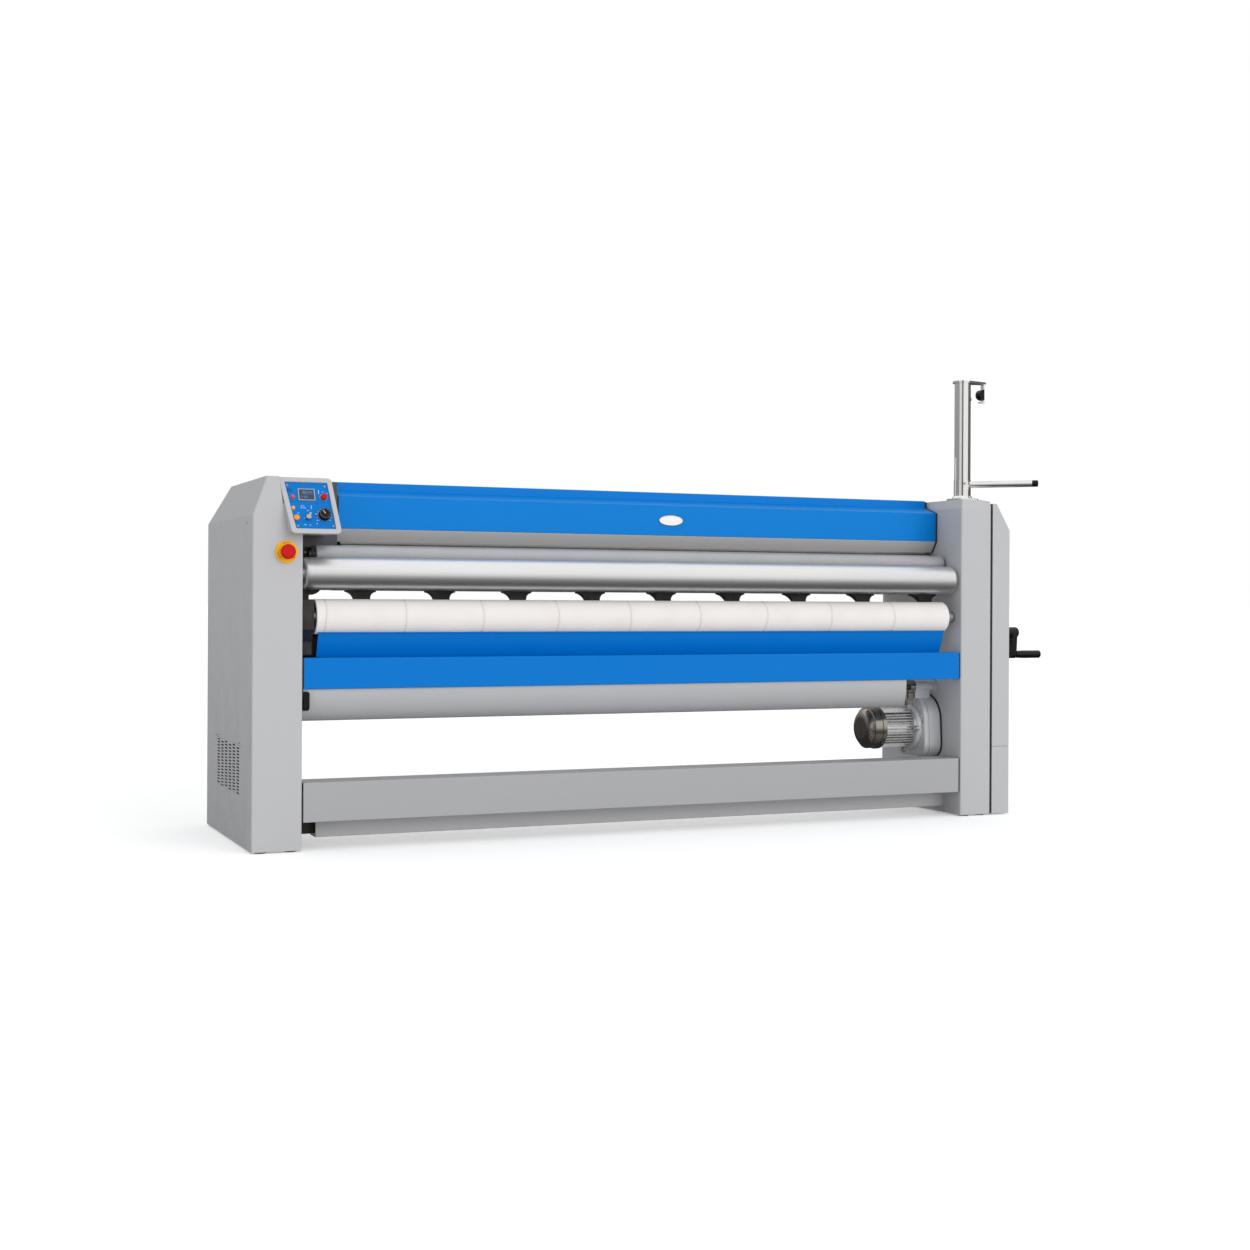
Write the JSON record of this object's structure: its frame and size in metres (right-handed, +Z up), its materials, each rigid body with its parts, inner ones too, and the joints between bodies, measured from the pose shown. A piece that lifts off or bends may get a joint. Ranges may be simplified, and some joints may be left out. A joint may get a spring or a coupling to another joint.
{
  "type": "flatwork ironer",
  "caption": "Floor-standing flatwork ironer with a heated cylinder under a hood, feed and delivery rollers, side towers, gearmotor, hand crank and swivel mast.",
  "frame": {"origin": "centre of the bounding box at the floor", "axes": "+X along the rollers to the drive side, -Y towards the operator, +Z up"},
  "size_m": [3.19, 0.94, 1.726],
  "materials": {
    "grey_paint": "fine textured powder coat",
    "grey_sheet": "satin powder coat",
    "blue_paint": "satin powder coat",
    "console_grey": "moulded, semi gloss",
    "console_blue": "printed foil",
    "display": "clear window in a silver frame",
    "lamp": "clear lens",
    "red_plastic": "moulded",
    "orange_plastic": "moulded",
    "yellow_plastic": "moulded",
    "black_plastic": "moulded, fine texture",
    "white_badge": "bare white enamel",
    "rubber": "moulded",
    "roller_steel": "ground and polished",
    "drum_steel": "turned",
    "felt": "needle felt with stitched seams",
    "belt_fabric": "heat resistant weave",
    "black_steel": "black paint",
    "cast_aluminium": "cast, lightly painted silver",
    "cowl_steel": "silver grey paint",
    "fan_plastic": "moulded",
    "stainless": "polished stainless"
  },
  "bodies": {
    "frame": {"apron": "grey_sheet", "apron_end_cap": "black_plastic", "badge_plate": "white_badge", "bottom_beam": "grey_paint", "bracket_pin": "stainless", "cable_gland": "black_plastic", "console_bezel": "console_grey", "console_housing": "console_grey", "console_panel": "console_blue", "display": "display", "drive_chain": "black_steel", "e_stop_disc": "yellow_plastic", "fan_cowl": "cowl_steel", "finger_rail": "black_steel", "front_bar": "blue_paint", "gearbox_bracket": "cast_aluminium", "gearbox_housing": "cast_aluminium", "guide_fingers": "black_steel", "heater_bundle": "drum_steel", "hood": "blue_paint", "hood_end_box": "grey_paint", "hood_lip": "grey_sheet", "hood_seals": "rubber", "ironing_belt": "belt_fabric", "left_back_panel": "grey_paint", "left_end_housing": "black_plastic", "left_tower_shell": "grey_paint", "left_vent_grille": "grey_paint", "levelling_feet": "rubber", "mast_base": "stainless", "motor_body": "cast_aluminium", "press_roller_bracket": "black_steel", "rear_cover": "grey_paint", "right_cover_lower": "grey_paint", "right_cover_upper": "grey_paint", "right_tower_shell": "grey_paint", "roller_bearings": "black_steel", "signal_lamps": "lamp", "sub_beam": "grey_paint", "tray_board": "blue_paint"},
    "heated_cylinder": {"heated_cylinder": "drum_steel"},
    "feed_roller": {"feed_roller": "roller_steel"},
    "delivery_roller": {"delivery_roller": "drum_steel", "felt_cover": "felt"},
    "press_roller": {"press_roller": "roller_steel"},
    "guide_roller_upper": {"guide_roller_upper": "drum_steel"},
    "guide_roller_lower": {"guide_roller_lower": "drum_steel"},
    "tension_roller": {"tension_roller": "drum_steel"},
    "output_shaft": {"output_shaft": "drum_steel"},
    "motor_fan": {"motor_fan": "fan_plastic"},
    "crank": {"crank": "black_plastic"},
    "crank_grip": {"crank_grip": "black_plastic"},
    "e_stop_button": {"e_stop_button": "red_plastic"},
    "stop_button": {"stop_button": "red_plastic"},
    "start_button": {"start_button": "orange_plastic"},
    "selector_switch": {"selector_switch": "black_plastic"},
    "speed_knob": {"speed_knob": "black_plastic"},
    "mast": {"mast_post": "stainless", "mast_clip_pad": "black_plastic", "mast_arm_cap": "black_plastic"}
  },
  "joints": [
    {"name": "heated_cylinder_spin", "type": "hinge", "parent": "frame", "child": "heated_cylinder", "pos_m": [0, 0.01, 1.055], "axis": [1, 0, 0], "continuous": true},
    {"name": "feed_roller_spin", "type": "hinge", "parent": "frame", "child": "feed_roller", "pos_m": [0, -0.293, 0.929], "axis": [1, 0, 0], "continuous": true},
    {"name": "delivery_roller_spin", "type": "hinge", "parent": "frame", "child": "delivery_roller", "pos_m": [0, -0.286, 0.784], "axis": [1, 0, 0], "continuous": true},
    {"name": "press_roller_spin", "type": "hinge", "parent": "frame", "child": "press_roller", "pos_m": [0, -0.224, 0.998], "axis": [1, 0, 0], "continuous": true},
    {"name": "guide_roller_upper_spin", "type": "hinge", "parent": "frame", "child": "guide_roller_upper", "pos_m": [0, -0.13789, 1.10305], "axis": [1, 0, 0], "continuous": true},
    {"name": "guide_roller_lower_spin", "type": "hinge", "parent": "frame", "child": "guide_roller_lower", "pos_m": [0, -0.13789, 1.00695], "axis": [1, 0, 0], "continuous": true},
    {"name": "tension_roller_spin", "type": "hinge", "parent": "frame", "child": "tension_roller", "pos_m": [0, 0.171, 1.055], "axis": [1, 0, 0], "continuous": true},
    {"name": "output_shaft_spin", "type": "hinge", "parent": "frame", "child": "output_shaft", "pos_m": [0, -0.105, 0.405], "axis": [1, 0, 0], "continuous": true},
    {"name": "motor_fan_spin", "type": "hinge", "parent": "frame", "child": "motor_fan", "pos_m": [0, -0.11, 0.34], "axis": [1, 0, 0], "continuous": true},
    {"name": "crank_turn", "type": "hinge", "parent": "frame", "child": "crank", "pos_m": [0, -0.305, 0.723], "axis": [1, 0, 0], "continuous": true},
    {"name": "crank_grip_spin", "type": "hinge", "parent": "crank", "child": "crank_grip", "pos_m": [1.535, -0.305, 0.635], "axis": [1, 0, 0], "continuous": true},
    {"name": "e_stop_push", "type": "slide", "parent": "frame", "child": "e_stop_button", "axis": [0, 1, 0], "range_m": [0, 0.005], "stiffness_N_per_m": 900},
    {"name": "stop_button_push", "type": "slide", "parent": "frame", "child": "stop_button", "axis": [0, 0.9063, -0.4226], "range_m": [0, 0.0025], "stiffness_N_per_m": 600},
    {"name": "start_button_push", "type": "slide", "parent": "frame", "child": "start_button", "axis": [0, 0.9063, -0.4226], "range_m": [0, 0.0025], "stiffness_N_per_m": 600},
    {"name": "selector_turn", "type": "hinge", "parent": "frame", "child": "selector_switch", "pos_m": [-1.416, -0.38264, 1.11538], "axis": [0, -0.9063, 0.4226], "range_deg": [-90, 0]},
    {"name": "speed_knob_turn", "type": "hinge", "parent": "frame", "child": "speed_knob", "pos_m": [-1.362, -0.37884, 1.12353], "axis": [0, -0.9063, 0.4226], "range_deg": [-135, 135]},
    {"name": "mast_swivel", "type": "hinge", "parent": "frame", "child": "mast", "pos_m": [1.251, -0.26, 1.3], "axis": [0, 0, 1], "range_deg": [-45, 120]}
  ],
  "couplings": [
    {"joint": "feed_roller_spin", "follows": "heated_cylinder_spin", "ratio": 2.3571},
    {"joint": "delivery_roller_spin", "follows": "heated_cylinder_spin", "ratio": -2.2},
    {"joint": "guide_roller_upper_spin", "follows": "heated_cylinder_spin", "ratio": 5.991},
    {"joint": "guide_roller_lower_spin", "follows": "heated_cylinder_spin", "ratio": 5.991},
    {"joint": "tension_roller_spin", "follows": "heated_cylinder_spin", "ratio": -10.659},
    {"joint": "output_shaft_spin", "follows": "heated_cylinder_spin", "ratio": 2.2},
    {"joint": "motor_fan_spin", "follows": "heated_cylinder_spin", "ratio": -26.4}
  ]
}
